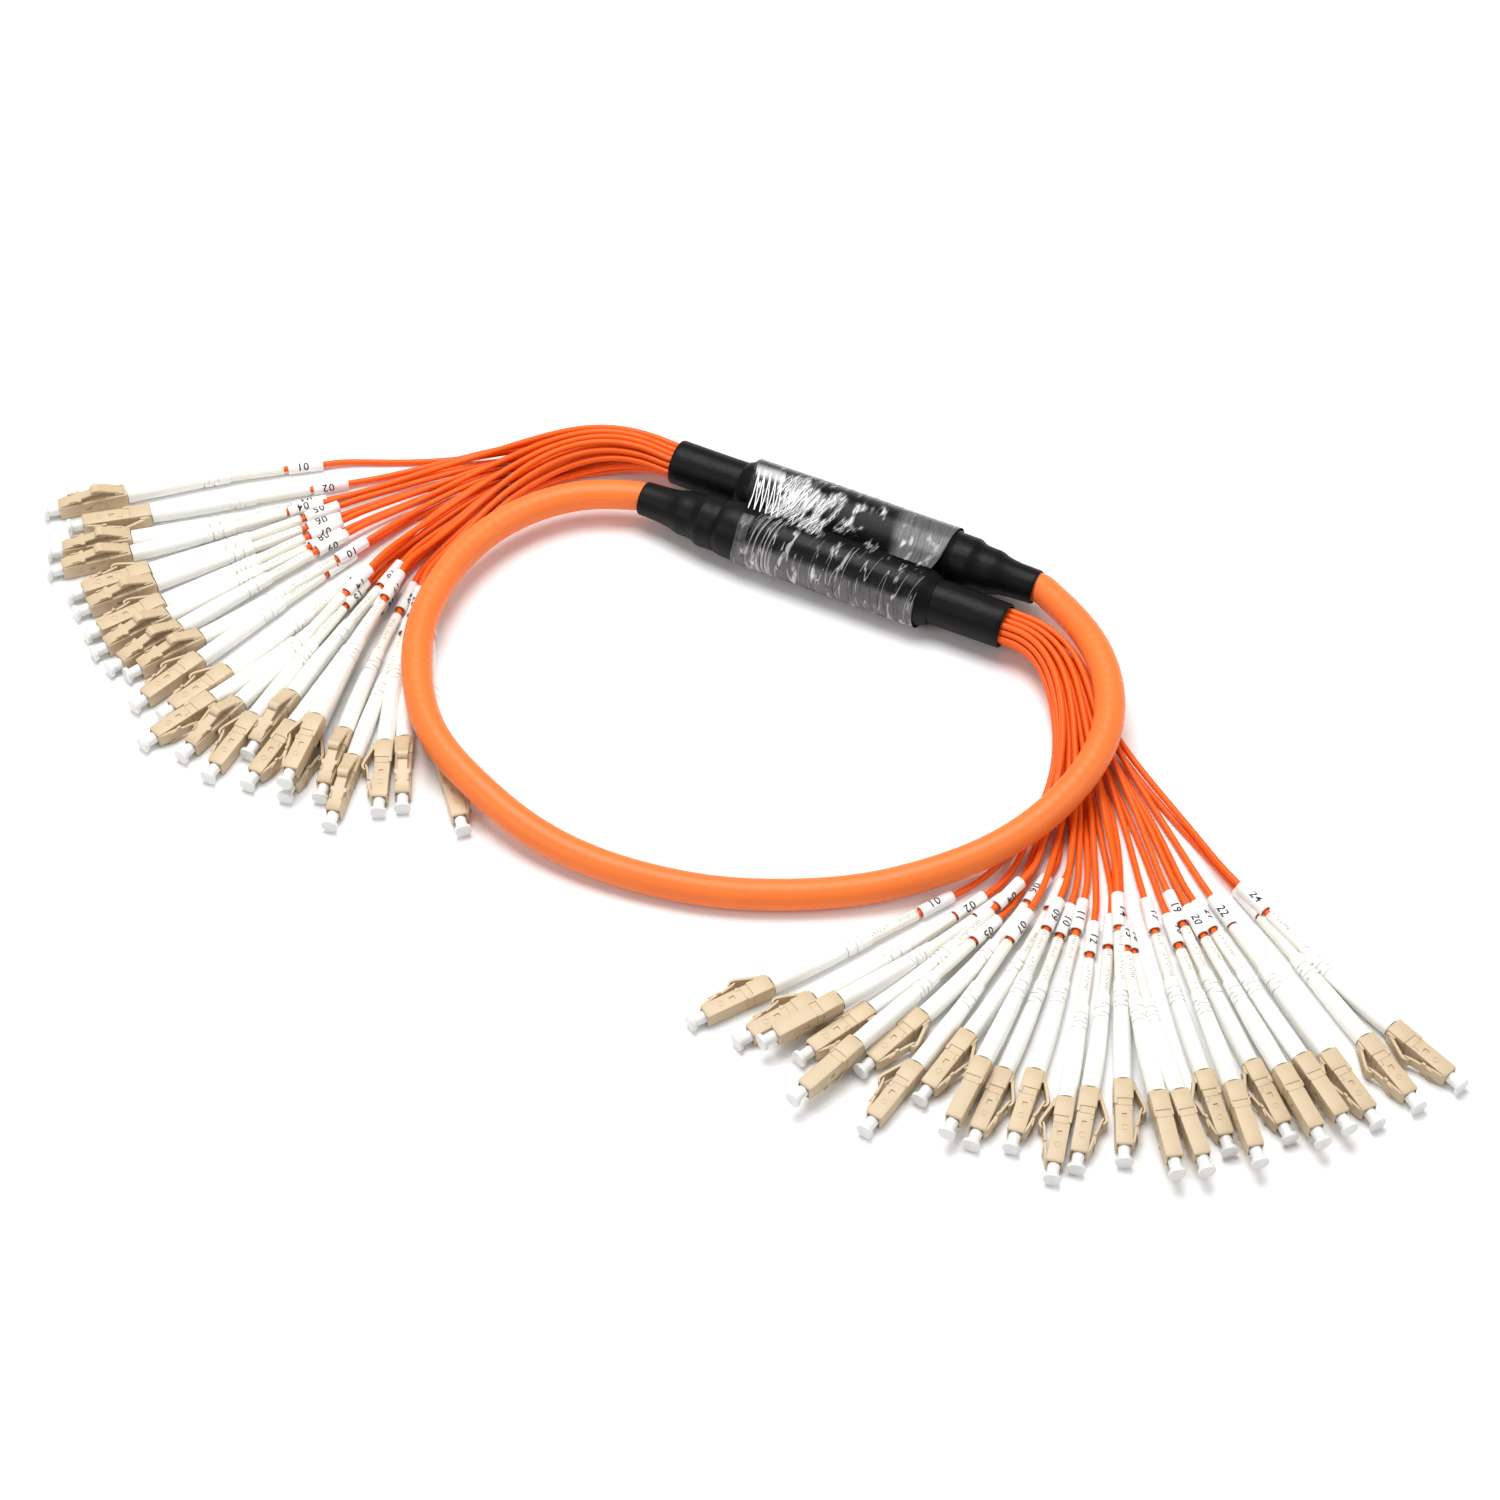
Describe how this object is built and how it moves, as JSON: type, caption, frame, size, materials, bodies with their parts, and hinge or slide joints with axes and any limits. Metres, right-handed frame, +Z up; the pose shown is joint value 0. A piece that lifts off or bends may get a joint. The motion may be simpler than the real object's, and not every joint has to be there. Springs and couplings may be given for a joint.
{
  "type": "armoured fibre patch cord",
  "caption": "Thick jacketed fibre trunk in a loose ring, each end leaving a shrink sleeve as a fan of thin leads with boots and capped latch connectors.",
  "frame": {"origin": "centre of the bounding box in plan, on the surface that the cord lies on", "axes": "+Z up from that surface; +X along the longest side of the outline, from fan A's noses towards fan B's; +Y from fan B's noses towards the sleeves"},
  "size_m": [0.3928, 0.2606, 0.0183],
  "materials": {
    "trunk_jacket": "satin extruded jacket with faint snaking from the armour below it",
    "lead_jacket": "satin thin jacket, with off-white tubes and boots near each connector",
    "shrink_sleeve": "satin black heat shrink with soft bulges",
    "clear_film": "clear crinkled film with bright creases",
    "connector_plastic": "moulded beige plastic with a white dust cap"
  },
  "bodies": {
    "root": {"trunk_cable": "trunk_jacket", "furcation_sleeve_a": "shrink_sleeve", "furcation_sleeve_b": "shrink_sleeve", "film_wrap": "clear_film", "lead_harness_a": "lead_jacket", "lead_harness_b": "lead_jacket", "connector_a_01": "connector_plastic", "connector_a_02": "connector_plastic", "connector_a_03": "connector_plastic", "connector_a_04": "connector_plastic", "connector_a_05": "connector_plastic", "connector_a_06": "connector_plastic", "connector_a_07": "connector_plastic", "connector_a_08": "connector_plastic", "connector_a_09": "connector_plastic", "connector_a_10": "connector_plastic", "connector_a_11": "connector_plastic", "connector_a_12": "connector_plastic", "connector_a_13": "connector_plastic", "connector_a_14": "connector_plastic", "connector_a_15": "connector_plastic", "connector_a_16": "connector_plastic", "connector_a_17": "connector_plastic", "connector_a_18": "connector_plastic", "connector_a_19": "connector_plastic", "connector_a_20": "connector_plastic", "connector_a_21": "connector_plastic", "connector_a_22": "connector_plastic", "connector_a_23": "connector_plastic", "connector_a_24": "connector_plastic", "connector_b_01": "connector_plastic", "connector_b_02": "connector_plastic", "connector_b_03": "connector_plastic", "connector_b_04": "connector_plastic", "connector_b_05": "connector_plastic", "connector_b_06": "connector_plastic", "connector_b_07": "connector_plastic", "connector_b_08": "connector_plastic", "connector_b_09": "connector_plastic", "connector_b_10": "connector_plastic", "connector_b_11": "connector_plastic", "connector_b_12": "connector_plastic", "connector_b_13": "connector_plastic", "connector_b_14": "connector_plastic", "connector_b_15": "connector_plastic", "connector_b_16": "connector_plastic", "connector_b_17": "connector_plastic", "connector_b_18": "connector_plastic", "connector_b_19": "connector_plastic", "connector_b_20": "connector_plastic", "connector_b_21": "connector_plastic", "connector_b_22": "connector_plastic", "connector_b_23": "connector_plastic", "connector_b_24": "connector_plastic"}
  },
  "joints": []
}
